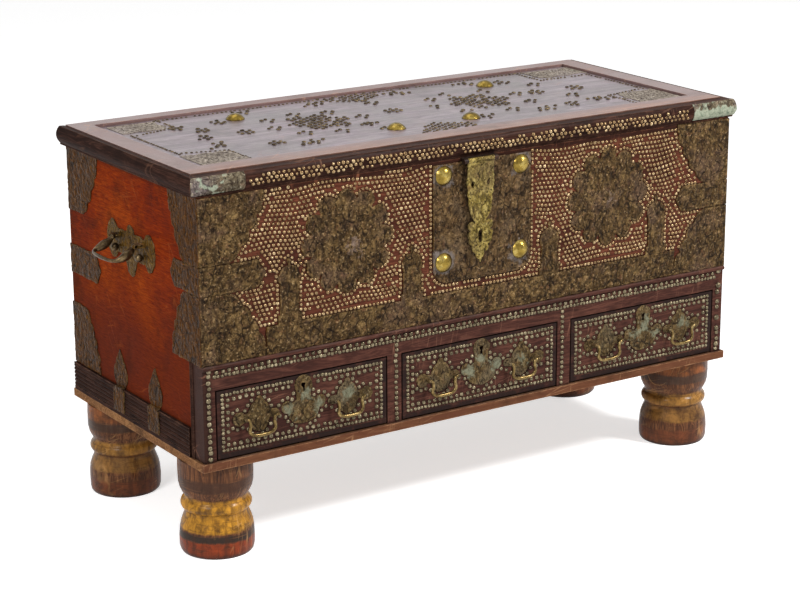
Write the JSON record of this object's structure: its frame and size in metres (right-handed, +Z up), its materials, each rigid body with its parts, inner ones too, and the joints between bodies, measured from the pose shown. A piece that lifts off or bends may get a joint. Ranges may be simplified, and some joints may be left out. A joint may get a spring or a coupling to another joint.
{
  "type": "dowry chest",
  "caption": "Low wooden dowry chest on turned feet: studded front with brass plates, hinged lid with hasp, end handles and a row of small drawers below.",
  "frame": {"origin": "on the floor, at the middle of the bottom of the closed chest's overall box", "axes": "+X to the right along the front, +Y from the front to the back, +Z up"},
  "size_m": [1.202, 0.4911, 0.6525],
  "materials": {
    "board_wood": "worn oiled softwood board edge",
    "front_wood": "red-brown paint over hardwood, worn",
    "end_wood": "orange-red paint and shellac over hardwood, scratched",
    "back_wood": "plain oiled hardwood",
    "inner_wood": "bare hardwood",
    "drawer_wood": "purple-brown stain and wax",
    "dark_wood": "dark stain and wax",
    "lid_wood": "dark polished wood with a satin sheen",
    "border_wood": "satin polished wood",
    "foot_wood": "turned wood with coloured lacquer bands",
    "sheet_brass": "aged hammered brass sheet with pierced and chased work",
    "dark_brass": "dark tarnished brass sheet",
    "verdigris_brass": "brass with pale green verdigris",
    "bright_brass": "polished brass",
    "hasp_brass": "olive yellow cast brass",
    "handle_brass": "worn cast brass",
    "bail_brass": "worn brass wire",
    "iron": "forged iron with a dark oxide skin"
  },
  "bodies": {
    "carcass": {"back_corner_plates": "sheet_brass", "back_panel": "back_wood", "base_board": "board_wood", "bottom_band": "sheet_brass", "chest_floor": "inner_wood", "corner_stiles": "drawer_wood", "drawer_muntins": "drawer_wood", "drawer_partitions": "inner_wood", "drawer_rail": "drawer_wood", "end_base_mouldings": "dark_wood", "fixed_hinge_leaves": "iron", "foot_back_left": "foot_wood", "foot_back_right": "foot_wood", "foot_front_left": "foot_wood", "foot_front_right": "foot_wood", "front_panel": "front_wood", "hinge_pins": "iron", "left_end_panel": "end_wood", "lock_plate": "dark_brass", "lock_plate_bosses": "bright_brass", "lower_corner_plates": "sheet_brass", "medallions": "sheet_brass", "middle_corner_plates": "sheet_brass", "minaret_plates": "sheet_brass", "right_end_panel": "end_wood", "side_handle_plates": "dark_brass", "spear_plates": "sheet_brass", "upper_corner_plates": "sheet_brass", "waist_moulding": "drawer_wood"},
    "lid": {"lid_board": "lid_wood", "lid_border_strips": "border_wood", "lid_front_moulding": "dark_wood", "lid_side_and_back_mouldings": "dark_wood", "lid_corner_caps": "verdigris_brass", "lid_bosses": "bright_brass", "hinge_straps": "iron", "hasp_bracket": "iron", "hasp_pin": "iron"},
    "hasp": {"hasp": "hasp_brass"},
    "left_drawer": {"left_drawer_front": "drawer_wood", "left_drawer_box": "inner_wood", "left_drawer_lock": "iron", "left_drawer_plates": "verdigris_brass"},
    "left_drawer_left_bail": {"left_drawer_left_bail": "bail_brass"},
    "left_drawer_right_bail": {"left_drawer_right_bail": "bail_brass"},
    "middle_drawer": {"middle_drawer_front": "drawer_wood", "middle_drawer_box": "inner_wood", "middle_drawer_lock": "iron", "middle_drawer_plates": "verdigris_brass"},
    "middle_drawer_left_bail": {"middle_drawer_left_bail": "bail_brass"},
    "middle_drawer_right_bail": {"middle_drawer_right_bail": "bail_brass"},
    "right_drawer": {"right_drawer_front": "drawer_wood", "right_drawer_box": "inner_wood", "right_drawer_lock": "iron", "right_drawer_plates": "verdigris_brass"},
    "right_drawer_left_bail": {"right_drawer_left_bail": "bail_brass"},
    "right_drawer_right_bail": {"right_drawer_right_bail": "bail_brass"},
    "left_handle": {"left_handle": "handle_brass"},
    "right_handle": {"right_handle": "handle_brass"}
  },
  "joints": [
    {"name": "lid_hinge", "type": "hinge", "parent": "carcass", "child": "lid", "pos_m": [0, 0.2401, 0.6085], "axis": [-1, 0, 0], "range_deg": [0, 95]},
    {"name": "hasp_hinge", "type": "hinge", "parent": "lid", "child": "hasp", "pos_m": [-0.01, -0.23995, 0.6085], "axis": [-1, 0, 0], "range_deg": [0, 95]},
    {"name": "left_drawer_slide", "type": "slide", "parent": "carcass", "child": "left_drawer", "axis": [0, -1, 0], "range_m": [0, 0.32]},
    {"name": "left_drawer_left_bail_hinge", "type": "hinge", "parent": "left_drawer", "child": "left_drawer_left_bail", "pos_m": [-0.43867, -0.24195, 0.239], "axis": [-1, 0, 0], "range_deg": [-10, 120]},
    {"name": "left_drawer_right_bail_hinge", "type": "hinge", "parent": "left_drawer", "child": "left_drawer_right_bail", "pos_m": [-0.27067, -0.24195, 0.239], "axis": [-1, 0, 0], "range_deg": [-10, 120]},
    {"name": "middle_drawer_slide", "type": "slide", "parent": "carcass", "child": "middle_drawer", "axis": [0, -1, 0], "range_m": [0, 0.32]},
    {"name": "middle_drawer_left_bail_hinge", "type": "hinge", "parent": "middle_drawer", "child": "middle_drawer_left_bail", "pos_m": [-0.084, -0.24195, 0.239], "axis": [-1, 0, 0], "range_deg": [-10, 120]},
    {"name": "middle_drawer_right_bail_hinge", "type": "hinge", "parent": "middle_drawer", "child": "middle_drawer_right_bail", "pos_m": [0.084, -0.24195, 0.239], "axis": [-1, 0, 0], "range_deg": [-10, 120]},
    {"name": "right_drawer_slide", "type": "slide", "parent": "carcass", "child": "right_drawer", "axis": [0, -1, 0], "range_m": [0, 0.32]},
    {"name": "right_drawer_left_bail_hinge", "type": "hinge", "parent": "right_drawer", "child": "right_drawer_left_bail", "pos_m": [0.27067, -0.24195, 0.239], "axis": [-1, 0, 0], "range_deg": [-10, 120]},
    {"name": "right_drawer_right_bail_hinge", "type": "hinge", "parent": "right_drawer", "child": "right_drawer_right_bail", "pos_m": [0.43867, -0.24195, 0.239], "axis": [-1, 0, 0], "range_deg": [-10, 120]},
    {"name": "left_handle_hinge", "type": "hinge", "parent": "carcass", "child": "left_handle", "pos_m": [-0.5545, 0.00205, 0.496], "axis": [0, 1, 0], "range_deg": [0, 100]},
    {"name": "right_handle_hinge", "type": "hinge", "parent": "carcass", "child": "right_handle", "pos_m": [0.5545, 0.00205, 0.496], "axis": [0, -1, 0], "range_deg": [0, 100]}
  ]
}
